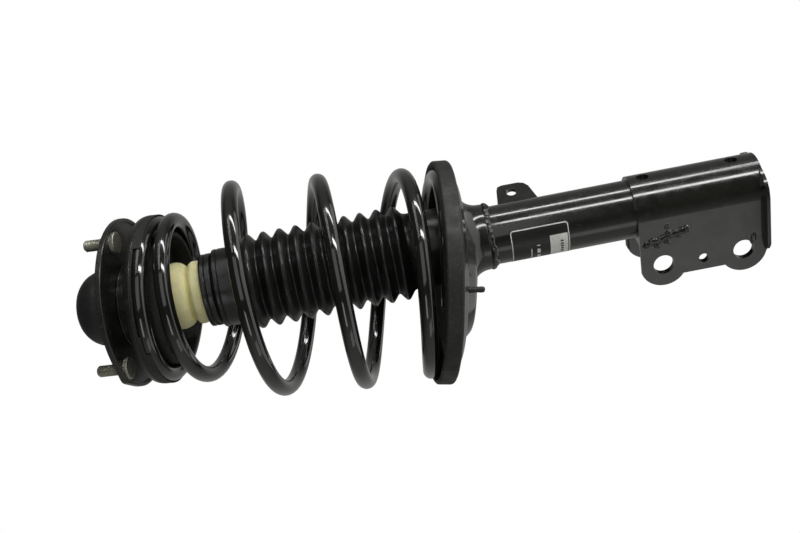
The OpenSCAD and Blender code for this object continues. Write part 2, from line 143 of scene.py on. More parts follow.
def material(name, color, rough, metallic=0.0, coat=0.0, coat_rough=0.04, vary=0.05, vary_scale=90.0,
             grain=(), dust=None, specks=None, subsurface=0.0, stretch=(1, 1, 1)):
    """A procedural finish.

    grain holds a (scale, depth in mm) pair for each layer of bumps. dust is (colour, amount, scale, level
    from which it shows), and specks is (colour, amount, scale).
    """
    m = bpy.data.materials.new(name)
    m.use_nodes = True
    nodes, links = m.node_tree.nodes, m.node_tree.links
    bsdf = nodes["Principled BSDF"]
    bsdf.inputs["Metallic"].default_value = metallic
    bsdf.inputs["Coat Weight"].default_value = coat
    bsdf.inputs["Coat Roughness"].default_value = coat_rough
    if subsurface:
        bsdf.inputs["Subsurface Weight"].default_value = subsurface
        bsdf.inputs["Subsurface Radius"].default_value = (0.004, 0.003, 0.0015)
    coords = nodes.new("ShaderNodeTexCoord")
    mapping = nodes.new("ShaderNodeMapping")
    mapping.inputs["Scale"].default_value = stretch
    links.new(coords.outputs["Object"], mapping.inputs["Vector"])

    def noise_at(scale, detail=3.0):
        n = nodes.new("ShaderNodeTexNoise")
        n.inputs["Scale"].default_value = scale
        n.inputs["Detail"].default_value = detail
        links.new(mapping.outputs["Vector"], n.inputs["Vector"])
        return n.outputs["Fac"]

    def ranged(value, low, high, to_low, to_high):
        r = nodes.new("ShaderNodeMapRange")
        for key, v in (("From Min", low), ("From Max", high), ("To Min", to_low), ("To Max", to_high)):
            r.inputs[key].default_value = v
        links.new(value, r.inputs["Value"])
        return r.outputs["Result"]

    def mixed(factor, a, b):
        x = nodes.new("ShaderNodeMix")
        x.data_type = "RGBA"
        links.new(factor, x.inputs[0])
        for socket, v in ((x.inputs[6], a), (x.inputs[7], b)):
            if isinstance(v, (tuple, list)):
                socket.default_value = (*v, 1)
            else:
                links.new(v, socket)
        return x.outputs[2]

    links.new(ranged(noise_at(vary_scale), 0.35, 0.65, max(0.02, rough - vary), min(1, rough + vary)),
              bsdf.inputs["Roughness"])
    shade = mixed(ranged(noise_at(vary_scale * 0.4), 0.3, 0.7, 0, 1), tuple(c * 0.82 for c in color),
                  tuple(min(1, c * 1.18) for c in color))
    if dust:
        dust_color, dust_amount, dust_scale, dust_level = dust
        patches = ranged(noise_at(dust_scale, 6.0), dust_level, dust_level + 0.14, 0, dust_amount)
        shade = mixed(patches, shade, dust_color)
    if specks:
        speck_color, speck_amount, speck_scale = specks
        cells = nodes.new("ShaderNodeTexVoronoi")
        cells.inputs["Scale"].default_value = speck_scale
        links.new(mapping.outputs["Vector"], cells.inputs["Vector"])
        near = ranged(cells.outputs["Distance"], 0.10, 0.22, speck_amount, 0)
        keep = ranged(noise_at(speck_scale * 0.35), 0.5, 0.58, 0, 1)
        both = nodes.new("ShaderNodeMath")
        both.operation = "MULTIPLY"
        links.new(near, both.inputs[0])
        links.new(keep, both.inputs[1])
        shade = mixed(both.outputs["Value"], shade, speck_color)
    links.new(shade, bsdf.inputs["Base Color"])
    normal = None
    for scale, depth in grain:
        b = nodes.new("ShaderNodeBump")
        b.inputs["Distance"].default_value = depth * MM
        b.inputs["Strength"].default_value = 1.0
        links.new(noise_at(scale, 4.0), b.inputs["Height"])
        if normal:
            links.new(normal, b.inputs["Normal"])
        normal = b.outputs["Normal"]
    if normal:
        links.new(normal, bsdf.inputs["Normal"])
    return m


DUST = (0.16, 0.155, 0.13)
FINISH = {
    "gloss_black": material("gloss_black", (0.010, 0.0105, 0.008), 0.20, coat=0.7, coat_rough=0.07, vary=0.05,
                            grain=((420, 0.02), (1500, 0.006)), dust=(DUST, 0.10, 160, 0.60)),
    "spring_paint": material("spring_paint", (0.007, 0.0075, 0.006), 0.12, coat=1.0, coat_rough=0.03,
                             vary=0.03, grain=((260, 0.012),), dust=(DUST, 0.05, 220, 0.64)),
    "satin_black": material("satin_black", (0.012, 0.0125, 0.010), 0.30, coat=0.25, coat_rough=0.2, vary=0.07,
                            grain=((900, 0.02),), dust=(DUST, 0.10, 140, 0.58)),
    "cap_plastic": material("cap_plastic", (0.018, 0.019, 0.018), 0.44, vary=0.05, grain=((1600, 0.02),),
                            dust=(DUST, 0.10, 120, 0.58), stretch=(1, 1, 0.2)),
    "seat_rubber": material("seat_rubber", (0.012, 0.0125, 0.0105), 0.56, vary=0.10,
                            grain=((700, 0.05), (2600, 0.03)), dust=(DUST, 0.12, 500, 0.54),
                            specks=((0.22, 0.21, 0.17), 0.5, 700)),
    "boot_rubber": material("boot_rubber", (0.006, 0.0063, 0.0055), 0.30, vary=0.05, grain=((800, 0.006),),
                            dust=(DUST, 0.05, 200, 0.62)),
    "foam": material("foam", (0.86, 0.80, 0.44), 0.78, vary=0.08, vary_scale=60, subsurface=0.25,
                     grain=((600, 0.06), (3200, 0.08)), dust=((0.62, 0.55, 0.26), 0.3, 70, 0.50),
                     specks=((0.50, 0.44, 0.20), 0.4, 1500)),
    "zinc": material("zinc", (0.44, 0.43, 0.36), 0.42, metallic=0.9, vary=0.10, vary_scale=500,
                     grain=((2400, 0.02),), dust=((0.20, 0.19, 0.15), 0.5, 900, 0.50)),
    "steel": material("steel", (0.40, 0.40, 0.41), 0.32, metallic=1.0, vary=0.08, vary_scale=300,
                      grain=((1800, 0.01),)),
    "rod_chrome": material("rod_chrome", (0.62, 0.62, 0.64), 0.10, metallic=1.0, vary=0.03,
                           grain=((900, 0.003),)),
    "bronze": material("bronze", (0.42, 0.28, 0.12), 0.35, metallic=1.0, vary=0.08, grain=((1500, 0.01),)),
    "seal_rubber": material("seal_rubber", (0.016, 0.016, 0.016), 0.60, vary=0.08, grain=((1200, 0.03),)),
    "label_film": material("label_film", (0.012, 0.0125, 0.011), 0.34, vary=0.04, grain=((500, 0.006),),
                           dust=(DUST, 0.08, 180, 0.60)),
}
LABEL_WHITE = material("label_white", (0.74, 0.74, 0.70), 0.40, vary=0.05, grain=((700, 0.006),),
                       dust=((0.30, 0.29, 0.25), 0.4, 400, 0.55))

NODES_OF = {
    "satin_black": ["mount_plate", "upper_spring_seat"],
    "zinc": ["mount_studs", "rod_nut", "rod_washer", "piston_nut"],
    "seal_rubber": ["mount_bush", "rebound_stop", "piston_band", "oil_seal"],
    "steel": ["bearing_housing", "bearing_outer_race", "bearing_inner_race", "piston",
              "piston_shims", "pressure_cylinder", "base_valve", "rod_guide", "closing_ring"],
    "cap_plastic": ["dust_cap"],
    "rod_chrome": ["piston_rod", "bearing_balls"],
    "bronze": ["bearing_cage", "guide_bush"],
    "seat_rubber": ["upper_insulator", "lower_insulator"],
    "foam": ["bump_stop"],
    "gloss_black": ["damper_tube", "bottom_cap", "lower_spring_seat", "seat_weld",
                    "knuckle_bracket", "bracket_liner", "bracket_weld", "hose_bracket"],
    "label_film": ["tube_label"],
    "spring_paint": ["coil_spring"],
    "boot_rubber": ["dust_boot"],
}
SLOTS = {node: slot for slot, nodes in NODES_OF.items() for node in nodes}
CAD = {o["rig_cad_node"]: o for o in bpy.context.scene.objects if "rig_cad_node" in o}
for node, slot in SLOTS.items():
    for s in CAD[node].material_slots:
        s.material = FINISH[slot]

# ---------------------------------------------------------------- builders


def rounded(points, radius, steps=4, closed=True):
    """The outline with each corner turned into a short curve. radius is one number, or one for each point."""
    out = []
    n = len(points)
    for i, p in enumerate(points):
        p = Vector(p)
        reach = radius[i] if isinstance(radius, (list, tuple)) else radius
        if reach <= 0 or (not closed and i in (0, n - 1)):
            out.append(tuple(p))
            continue
        a, b = Vector(points[i - 1]), Vector(points[(i + 1) % n])
        t = min(reach, 0.45 * (a - p).length, 0.45 * (b - p).length)
        s = p + (a - p).normalized() * t
        e = p + (b - p).normalized() * t
        for k in range(steps + 1):
            u = k / steps
            out.append(tuple(s * (1 - u) ** 2 + p * 2 * u * (1 - u) + e * u * u))
    return out


def piece(name, mesh, slot, body, nodes=(), weighted=True, sharp=50, mats=None):
    """Makes the object, finishes its shading, ties it to its body and hides the CAD nodes it replaces."""
    for m in mats or [FINISH[slot]]:
        mesh.materials.append(m)
    mesh.shade_smooth()
    mesh.set_sharp_from_angle(angle=math.radians(sharp))
    obj = bpy.data.objects.new(name, mesh)
    bpy.context.scene.collection.objects.link(obj)
    if weighted:
        obj.modifiers.new("Weighted", "WEIGHTED_NORMAL").keep_sharp = True
    if nodes:
        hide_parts(*nodes)
    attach(obj, body)
    return obj


def grid_mesh(name, rows, wrap_rows=False, wrap_cols=True, caps=False):
    """A mesh from rows of points, each row the same length."""
    bm = bmesh.new()
    verts = [[bm.verts.new(p) for p in row] for row in rows]
    n, m = len(rows), len(rows[0])
    for i in range(n if wrap_rows else n - 1):
        for j in range(m if wrap_cols else m - 1):
            a, b = verts[i], verts[(i + 1) % n]
            bm.faces.new((a[j], a[(j + 1) % m], b[(j + 1) % m], b[j]))
    if caps:
        bm.faces.new(verts[0])
        bm.faces.new(verts[-1])
    bmesh.ops.remove_doubles(bm, verts=bm.verts, dist=1e-7)
    bmesh.ops.recalc_face_normals(bm, faces=bm.faces)
    mesh = bpy.data.meshes.new(name)
    bm.to_mesh(mesh)
    bm.free()
    return mesh


def lathe_mesh(name, profile, matrix=AXIS, segments=144, shape=None, closed=True):
    """Turns a profile of (radius, height) in mm about Z. shape(angle, r, z) may change each point."""
    rows = []
    for k in range(segments):
        a = 2 * math.pi * k / segments
        row = []
        for r, z in profile:
            if shape:
                r, z = shape(math.degrees(a), r, z)
            row.append(matrix @ (Vector((r * math.cos(a), r * math.sin(a), z)) * MM))
        rows.append(row)
    return grid_mesh(name, rows, wrap_rows=True, wrap_cols=closed)


def joined(name, meshes):
    bm = bmesh.new()
    for m in meshes:
        bm.from_mesh(m)
    mesh = bpy.data.meshes.new(name)
    bm.to_mesh(mesh)
    bm.free()
    return mesh


def refined(node, name, body, width, angle=34):
    """A copy of the CAD node's shape with its flat faces cleaned and its edges rounded."""
    bm = bmesh.new()
    bm.from_mesh(CAD[node].data)
    bmesh.ops.remove_doubles(bm, verts=bm.verts, dist=2e-6)
    bmesh.ops.dissolve_limit(bm, angle_limit=math.radians(0.6), verts=bm.verts, edges=bm.edges)
    mesh = bpy.data.meshes.new(name)
    bm.to_mesh(mesh)
    bm.free()
    obj = piece(name, mesh, SLOTS[node], body, (node,), weighted=False, sharp=angle)
    bevel = obj.modifiers.new("Edges", "BEVEL")
    bevel.width = width * MM
    bevel.segments = 3
    bevel.limit_method = "ANGLE"
    bevel.angle_limit = math.radians(angle)
    bevel.harden_normals = False
    obj.modifiers.new("Weighted", "WEIGHTED_NORMAL").keep_sharp = True
    return obj


def bead_mesh(name, path, radius, ripple, pitch, lump, seed, sides=18, closed=False, flat=1.0, out=None):
    """A weld bead along a path in mm: ripples with uneven lumps. out(point) is the bead's outward way."""
    pts = [Vector(p) for p in path]
    n = len(pts)
    run = 0.0
    rows = []
    for i, p in enumerate(pts):
        a = pts[i - 1] if (i or closed) else p
        b = pts[(i + 1) % n] if (i < n - 1 or closed) else p
        t = (b - a).normalized()
        if i:
            run += (p - pts[i - 1]).length
        o = out(p).normalized()
        s = t.cross(o).normalized()
        scallop = abs(math.sin(math.pi * run / pitch))
        end = 1.0 if closed else min(1.0, 0.25 + 1.2 * min(i, n - 1 - i) / 6)
        row = []
        for j in range(sides):
            u = 2 * math.pi * j / sides
            d = o * math.cos(u) * flat + s * math.sin(u)
            q = p + d * radius
            broad = noise.noise(q * 0.16 + Vector((seed, 0, 0)))
            fine = noise.noise(q * 0.42 + Vector((0, seed, 0)))
            k = broad + 0.6 * fine
            row.append((p + d * (radius * end + ripple * scallop + lump * k)) * MM)
        rows.append(row)
    return grid_mesh(name, rows, wrap_rows=closed, wrap_cols=True, caps=not closed)


# ---------------------------------------------------------------- coil spring


def clamp01(t):
    return min(1.0, max(0.0, t))


def smooth(t):
    u = clamp01(t)
    return u * u * (3 - 2 * u)


def mix(a, b, t):
    return a + (b - a) * t


def climb(x):
    """How much of the climb from the upper to the lower seat is done x turns down the spring, 0 to 1."""
    n = FREE_TURNS - SETTLE - REST_TURNS
    u = x - SETTLE
    a, b = clamp01(u / LEAD_IN), clamp01((u - n + LEAD_OUT) / LEAD_OUT)
    run = LEAD_IN * a * a / 2 + max(0.0, min(u, n - LEAD_OUT) - LEAD_IN) + LEAD_OUT * (b - b * b / 2)
    return run / (n - LEAD_IN / 2 - LEAD_OUT / 2)


def tan(d):
    return math.tan(math.radians(d))


def coil_point(x):
    """The wire's centre, in mm, x turns after the place where the free turns start."""
    k = climb(x)
    turn = math.radians(COIL_START - 360 * x)
    sx = mix(tan(-SEAT_TILT[1]), tan(-PAN_TILT[1]), k)
    sy = mix(tan(SEAT_TILT[0]), tan(PAN_TILT[0]), k)
    lean = sx * math.cos(turn) + sy * math.sin(turn)
    widened = mix(COIL_TOP_R, COIL_R, smooth((x - 0.6) / 0.8))
    r = mix(widened, COIL_LOW_R, smooth((x - FREE_TURNS + 0.7) / 0.5)) / math.hypot(1, lean)
    top_drop, low_drop = END_DROP
    z = mix(COIL_TOP_Z - top_drop, COIL_LOW_Z + low_drop, k)
    z += top_drop * (1 - smooth((x + 0.2) / 0.55)) - low_drop * smooth((x - FREE_TURNS + 0.45) / 0.5)
    return Vector((SEAT_X * k ** 1.15 + r * math.cos(turn), r * math.sin(turn), z + lean * r))


def wire_tree():
    """Geometry nodes that sweep a round wire along the piece's edges, so it stays round in every pose."""
    tree = bpy.data.node_groups.new("RoundWire", "GeometryNodeTree")
    tree.interface.new_socket("Geometry", in_out="INPUT", socket_type="NodeSocketGeometry")
    tree.interface.new_socket("Geometry", in_out="OUTPUT", socket_type="NodeSocketGeometry")
    made = {k: tree.nodes.new(t) for k, t in {
        "in": "NodeGroupInput", "curve": "GeometryNodeMeshToCurve",
        "circle": "GeometryNodeCurvePrimitiveCircle",
        "sweep": "GeometryNodeCurveToMesh", "shade": "GeometryNodeSetShadeSmooth",
        "paint": "GeometryNodeSetMaterial", "out": "NodeGroupOutput"}.items()}
    made["circle"].inputs["Resolution"].default_value = 28
    made["circle"].inputs["Radius"].default_value = WIRE_R * MM
    made["sweep"].inputs["Fill Caps"].default_value = True
    made["paint"].inputs["Material"].default_value = FINISH["spring_paint"]
    link = tree.links.new
    link(made["in"].outputs[0], made["curve"].inputs["Mesh"])
    link(made["curve"].outputs["Curve"], made["sweep"].inputs["Curve"])
    link(made["circle"].outputs["Curve"], made["sweep"].inputs["Profile Curve"])
    link(made["sweep"].outputs["Mesh"], made["shade"].inputs["Geometry"])
    link(made["shade"].outputs["Geometry"], made["paint"].inputs["Geometry"])
    link(made["paint"].outputs["Geometry"], made["out"].inputs[0])
    return tree


turns_from = -TOP_DEAD
turns_to = FREE_TURNS + LOW_DEAD
per_turn = 72
count = round((turns_to - turns_from) * per_turn)
line = bpy.data.meshes.new("coil_spring_wire")
line.from_pydata([coil_point(mix(turns_from, turns_to, i / count)) * MM for i in range(count + 1)],
                 [(i, i + 1) for i in range(count)], [])
line.materials.append(FINISH["spring_paint"])
wire = bpy.data.objects.new("coil_spring_wire", line)
bpy.context.scene.collection.objects.link(wire)
wire.modifiers.new("Wire", "NODES").node_group = wire_tree()
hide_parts("coil_spring")
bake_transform(wire)

# ---------------------------------------------------------------- dust boot

top, low = BOOT_TOP, BOOT_LOW
outer = [(25.2, top), (31.4, top), (31.4, top - 3.6), (30.6, top - 4.3), (31.5, top - 5), (31.5, top - 9.6),
         (29.6, top - 10.6), (33.9, top - 11.6), (33.9, top - 14.6), (33.1, top - 15.4), (33.9, top - 16.2),
         (33.9, top - 20.4), (33.2, BOOT_PEAK_Z + 9.5)]
soft = [0.3, 1.4, 0.5, 0.4, 0.5, 1.3, 0.6, 1.6, 0.5, 0.4, 0.5, 1.8, 3.0]
for i in range(BOOT_FOLDS):
    sag = 0.35 * math.sin(2.1 * i)
    outer += [(BOOT_PEAK_R + 1.2, BOOT_PEAK_Z - BOOT_PITCH * i + 0.2 * sag),
              (BOOT_VALLEY_R - 0.3, BOOT_PEAK_Z - BOOT_PITCH * (i + 0.5) + sag)]
    soft += [4.2, 2.4]
outer += [(32.9, BOOT_PEAK_Z - BOOT_PITCH * BOOT_FOLDS + 4), (32.9, low + 0.2)]
soft += [2.0, 0.5]
line_out = rounded(outer, soft, steps=5, closed=False)
line_in = [(r - BOOT_T, z) for r, z in line_out if z < top - 2]
profile = line_out + [(line_out[-1][0] - BOOT_T, low + 0.2)] + line_in[::-1] + [(25.2, top - 2.4)]
boot = piece("boot_bellows", lathe_mesh("boot_bellows", profile, segments=160), "boot_rubber", "rod_assembly",
             ("dust_boot",), weighted=False, sharp=70)
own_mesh(boot)

# ---------------------------------------------------------------- bump stop

bore = ROD_R + 0.3
stop = [(bore, 5), (22, 5), (26.6, 1.8), (29, -3), (29, -8.6), (27.4, -13.4), (24.4, -16.6), (21.9, -17.4),
        (21.9, -18.4), (25.2, -19.2), (27.3, -21.6), (27.4, -25.2), (26.6, -28.6), (24.5, -30.5), (24.5, -45),
        (21, -48.5), (23, -53), (21, -58), (17, -66), (bore, -66)]
stop_soft = [0.6, 3, 3, 3, 4, 4, 3, 1, 0.8, 1.6, 2.4, 3, 2.5, 2, 3, 3, 3, 3, 2, 0.6]


def foam_shape(angle, r, z):
    a = math.radians(angle)
    k = noise.noise(Vector((math.cos(a) * 2.2, math.sin(a) * 2.2, z * 0.11)))
    return (r + 0.22 * k if r > bore + 1 else r), z


foam = piece("bump_stop_foam",
             lathe_mesh("bump_stop_foam", [(r, z + STOP_Z) for r, z in rounded(stop, stop_soft, 6)],
                        segments=128, shape=foam_shape), "foam", "rod_assembly", ("bump_stop",), sharp=60)

# ---------------------------------------------------------------- top mount

cap = [(33.8, 0.05), (33.8, 1.6), (33.0, 3.0), (32.9, CAP_H - 20), (31.8, CAP_H - 15.5), (29.4, CAP_H - 10.5),
       (25.5, CAP_H - 6), (21, CAP_H - 2.6), (16, CAP_H - 0.8), (11, CAP_H - 0.05), (0, CAP_H - 0.05)]
inner = [(0, CAP_H - 2), (11, CAP_H - 2), (16, CAP_H - 2.8), (21, CAP_H - 4.8), (25, CAP_H - 8),
         (28.4, CAP_H - 12), (30.6, CAP_H - 17), (31, CAP_H - 21), (31.2, 0.05)]


def cap_shape(angle, r, z):
    facet = 0.16 * abs(math.sin(math.radians(angle) * 18))
    return (r - facet if r > 30 and z < CAP_H - 12 else r), z


cap_outside = rounded(cap, [0.3, 0.6, 1.2, 4, 4, 4, 4, 4, 4, 3, 0], 4, False)
piece("dust_cap_shell", lathe_mesh("dust_cap_shell", cap_outside + inner, MOUNT, 216, cap_shape),
      "cap_plastic", "top_mount", ("dust_cap",))


def stud_mesh(direction):
    """A stud with a rounded, finely grooved head below the plate and a helical thread above it."""
    turned = Matrix.Rotation(math.radians(direction), 4, "Z")
    at = MOUNT @ turned @ Matrix.Translation(Vector((STUD_PCD / 2, 0, 0)) * MM)
    head_z = -PLATE_T - STUD_HEAD_H
    thread_z = 0.6
    head = rounded([(0, head_z + 0.25), (STUD_HEAD_R * 0.72, head_z), (STUD_HEAD_R, head_z),
                    (STUD_HEAD_R, -PLATE_T), (STUD_R, -PLATE_T), (STUD_R, thread_z)],
                   [0, 2, 1.1, 0.3, 0.2, 0], 5, False)

    def grooved(angle, r, z):
        edge = r > STUD_HEAD_R - 0.4 and z < -PLATE_T - 0.2
        return (r - 0.14 * abs(math.sin(math.radians(angle) * 30)) if edge else r), z

    body = lathe_mesh("head", head, at, 240, grooved, closed=False)
    rows = []
    sides = 44
    tip = 1.6
    steps = int((STUD_LEN - thread_z) / (THREAD_PITCH / 10))
    for i in range(steps + 1):
        z = mix(thread_z, STUD_LEN, i / steps)
        row = []
        for j in range(sides):
            a = 2 * math.pi * j / sides
            phase = (z / THREAD_PITCH - j / sides) % 1.0
            cut = THREAD_DEPTH * clamp01(1.25 - 2.5 * abs(phase - 0.5)) * smooth((z - thread_z) / 2.0)
            r = min(STUD_R - cut, STUD_R - max(0.0, z - (STUD_LEN - tip)) * 0.9)
            row.append(at @ (Vector((r * math.cos(a), r * math.sin(a), z)) * MM))
        rows.append(row)
    return joined("stud", [body, grid_mesh("thread", rows, caps=True)])


studs = joined("threaded_studs", [stud_mesh(STUD_PHASE + 120 * i) for i in range(3)])
piece("threaded_studs", studs, "zinc", "top_mount", ("mount_studs",), weighted=False, sharp=38)

refined("mount_plate", "plate_stamping", "top_mount", 0.9)

seat_line = [(20, 9), (26, 8.7), (34, 8.2), (69.5, 8.2), (71, 5.25), (73, 5.25), (72.6, 7.8), (71.3, 11.2),
             (35, 11.2), (27, 11.7), (20, 12)]
disc = lathe_mesh("disc", rounded(seat_line, [0.5, 2, 3, 0.8, 0.8, 0.8, 1.6, 1.8, 3, 2, 0.5], 4), SEAT, 160)
hub_r = 26.9
hub_low = UPPER_SEAT_Z - 3
hub_line = [(ROD_NECK_R, hub_low), (hub_r, hub_low), (hub_r, UPPER_SEAT_Z), (ROD_NECK_R, UPPER_SEAT_Z)]
hub = lathe_mesh("hub", rounded(hub_line, 0.5, 3), AXIS, 96)
piece("upper_seat_stamping", joined("upper_seat_stamping", [disc, hub]), "satin_black", "rod_assembly",
      ("upper_spring_seat",), sharp=60)

refined("upper_insulator", "upper_insulator_moulding", "rod_assembly", 0.7, angle=30)

# ---------------------------------------------------------------- lower seat

pan_line = [(3.0, -33), (26, -31.6), (38, -28), (52, -27.6), (62, -18.3), (65, -17), (76, -16.5),
            (80, -15.6), (88.5, -11.8), (94, -11), (94, -8), (90, -8.6), (86, -11),
            (76, -13.5), (64, -14), (60, -15.5), (50, -24.5), (38, -25), (26, -28.2), (3.0, -30)]
pan_soft = [0, 0, 4, 4, 3, 2, 3, 3, 3, 1.2, 1.2, 2, 3, 3, 2, 3, 4, 4, 0, 0]
pan_mesh = lathe_mesh("pan", rounded(pan_line, pan_soft, 5), PAN, 192)
pan = piece("lower_seat_pan", pan_mesh, "gloss_black", "strut_body", ("lower_spring_seat",),
            weighted=False, sharp=50)
neck_line = [(TUBE_R + 0.05, WELD_Z + 1), (TUBE_R + 3, WELD_Z + 1), (TUBE_R + 3.4, WELD_Z + 8),
             (TUBE_R + 6, WELD_Z + 14), (TUBE_R + 11, WELD_Z + 18.5), (TUBE_R + 17, WELD_Z + 21),
             (TUBE_R + 16, WELD_Z + 23), (TUBE_R + 0.05, WELD_Z + 23)]
neck_mesh = lathe_mesh("lower_seat_neck", rounded(neck_line, [0.3, 1, 5, 5, 5, 1, 1, 0.3], 5), AXIS, 128)
piece("lower_seat_neck", neck_mesh, "gloss_black", "strut_body")
cut_r = TUBE_R + 0.02
cut_low = -360
cut_top = -240
cut_line = [(0.01, cut_low), (cut_r, cut_low), (cut_r, cut_top), (0.01, cut_top)]
cutter = bpy.data.objects.new("cutter", lathe_mesh("cutter", cut_line, AXIS, 128))
bpy.context.scene.collection.objects.link(cutter)
cut = pan.modifiers.new("Hole", "BOOLEAN")
cut.operation = "DIFFERENCE"
cut.object = cutter
cut.solver = "EXACT"
bpy.context.view_layer.update()
holed = bpy.data.meshes.new_from_object(pan.evaluated_get(bpy.context.evaluated_depsgraph_get()))
pan.modifiers.clear()
pan.data = holed
bpy.data.objects.remove(cutter)
pan.modifiers.new("Weighted", "WEIGHTED_NORMAL").keep_sharp = True

rubber_line = [(64, -13.9), (76, -13.4), (86, -10.9), (90, -8.5), (94.1, -7.9), (94.4, -10.8), (96.8, -10.4),
               (97.9, -8.6), (97.4, 3.0), (95.6, 4.5), (94.0, 4.2), (92.2, 1.5), (91.2, -1.6), (88.6, -5.9),
               (84, -7.5), (79, -5.6), (77, -5.9), (70, -6), (66, -10)]
rubber_soft = [0.5, 2, 2, 2, 0.4, 0.6, 1.2, 1.8, 1.8, 1.2, 1, 2, 2, 3, 3, 1, 1, 2, 2]


def rubber_shape(angle, r, z):
    a = math.radians(angle)
    k = noise.noise(Vector((math.cos(a) * 6, math.sin(a) * 6, z * 0.12)))
    nick = max(0.0, noise.noise(Vector((math.cos(a) * 30, math.sin(a) * 30, z * 0.35))) - 0.42)
    return (r + 0.25 * k - 1.6 * nick if r > 95 else r), z


ring_mesh = lathe_mesh("band", rounded(rubber_line, rubber_soft, 4), PAN, 360, rubber_shape)
NIPPLE_DIR = 106  # direction of the rubber's nipple, degrees
NIPPLE_AT = 66  # its distance from the pan's centre
nipple_turn = Matrix.Rotation(math.radians(NIPPLE_DIR), 4, "Z")
nipple_at = PAN @ nipple_turn @ Matrix.Translation(Vector((NIPPLE_AT, 0, 0)) * MM)
nipple_line = [(0, -31.6), (2.0, -31.2), (2.7, -29), (2.3, -24), (2.7, -19), (2.7, -12), (0, -12)]
nipple = lathe_mesh("nipple", rounded(nipple_line, [0, 1, 1.5, 2, 1, 0.2, 0], 4, False), nipple_at, 32)
piece("lower_insulator_moulding", joined("lower_insulator_moulding", [ring_mesh, nipple]), "seat_rubber",
      "strut_body", ("lower_insulator",), sharp=60)

ring_r = TUBE_R + 1.1
ring_steps = 260
ring_path = []
for i in range(ring_steps):
    a = 2 * math.pi * i / ring_steps
    z = WELD_Z - 0.8 + 0.9 * math.sin(3 * a + 0.6) + 0.4 * math.sin(11 * a)
    ring_path.append((ring_r * math.cos(a), ring_r * math.sin(a), z))
ring_bead = bead_mesh("seat_weld_bead", ring_path, 2.5, 0.7, 4.6, 1.5, 3.1, closed=True, flat=0.75,
                      out=lambda p: Vector((p.x, p.y, 0)))
piece("seat_weld_bead", ring_bead, "gloss_black", "strut_body", ("seat_weld",), weighted=False, sharp=80)

# ---------------------------------------------------------------- damper tube and bracket

tube_line = [(TUBE_R - TUBE_T, TUBE_LOW), (TUBE_R, TUBE_LOW), (TUBE_R, TUBE_TOP), (TUBE_R - 5, TUBE_TOP),
             (TUBE_R - 5, TUBE_TOP - 2), (TUBE_R - TUBE_T, TUBE_TOP - 2)]
tube_mesh = lathe_mesh("damper_tube_shell", rounded(tube_line, [0.5, 0.6, 1.6, 0.4, 0.4, 0.4], 5), AXIS, 192)
piece("damper_tube_shell", tube_mesh, "gloss_black", "strut_body", ("damper_tube",), sharp=50)
refined("knuckle_bracket", "bracket_stamping", "strut_body", 0.7)
refined("bracket_liner", "bracket_channel", "strut_body", 0.6)
refined("hose_bracket", "hose_tab", "strut_body", 0.6)

SEAM_TOP = BRACKET_TOP - 2
SEAM_LOW = BRACKET_TOP - 45
SEAM_X = (23, 12.5)  # X of the seam's upper and lower end
# drops of weld beside the seam: part of the way down it, shift along X, radius
BLOBS = [(0.30, 4.2, 3.6), (0.50, 3.6, 4.2), (0.55, -2.4, 3.8), (0.74, 2.6, 3.2), (0.52, -9.5, 2.0)]


def outward(side):
    return lambda p: Vector((0, side, 0))


def seam_mesh(side):
    path = [(mix(*SEAM_X, t / 60) + 0.4 * math.sin(t * 0.4), side * (COLLAR_R - 0.2),
             mix(SEAM_TOP, SEAM_LOW, t / 60)) for t in range(61)]
    return bead_mesh("seam", path, 3.0, 0.35, 6.5, 0.8, 5.0 + side, sides=24, flat=0.7, out=outward(side))


def blob_mesh(side, number, t, shift, radius):
    """A drop of weld beside the seam, t of the way down it and moved by shift along X."""
    path = [(mix(*SEAM_X, t) + shift + (i - 6) * 0.4, side * (COLLAR_R - 0.9),
             mix(SEAM_TOP, SEAM_LOW, t) + 0.45 * (i - 6)) for i in range(13)]
    return bead_mesh("blob", path, radius, 0.1, 5.0, 0.6, 9 * number + side, sides=24, flat=0.75,
                     out=outward(side))


def dimple_mesh(side):
    """The swelling pressed into each ear near its lower end."""
    path = [(BOLT_X - 17 + 1.1 * i, side * (COLLAR_R - 1.9), BRACKET_LOW + 12 + 0.12 * i) for i in range(14)]
    return bead_mesh("dimple", path, 3.2, 0.0, 5.0, 0.15, side, sides=24, flat=0.9, out=outward(side))


seams = []
for side in (-1, 1):
    seams.append(seam_mesh(side))
    seams += [blob_mesh(side, number, *blob) for number, blob in enumerate(BLOBS)]
seams += [dimple_mesh(side) for side in (-1, 1)]
piece("bracket_weld_beads", joined("bracket_weld_beads", seams), "gloss_black", "strut_body",
      ("bracket_weld",), weighted=False, sharp=80)

# ---------------------------------------------------------------- label


def label_kind(s, z):
    """1 for white print, 0 for bare film, s mm along the arc from the last edge and z mm above the lower."""
    span = math.radians(LABEL_ARC) * TUBE_R
    edge = min(s, span - s, z, LABEL_H - z)
    corner = 3.0
    x, y = corner - min(s, span - s), corner - min(z, LABEL_H - z)
    if x > 0 and y > 0:
        edge = corner - math.hypot(x, y)
    if 0.4 < edge < 1.3:
        return 1
    if 2.2 < z < 17.2 and 10 < s < span - 8:
        bar = 6.0 < z < 8.6 and 16 < s < 34 and (s % 3.0) > 1.1
        return 0 if bar else 1
    if 26 < z < 29 and 17 < s < span - 14 and (s % 9.0) > 3.2:
        return 1
    if 33.4 < z < 34.2 and 20 < s < 40:
        return 1
    return 0


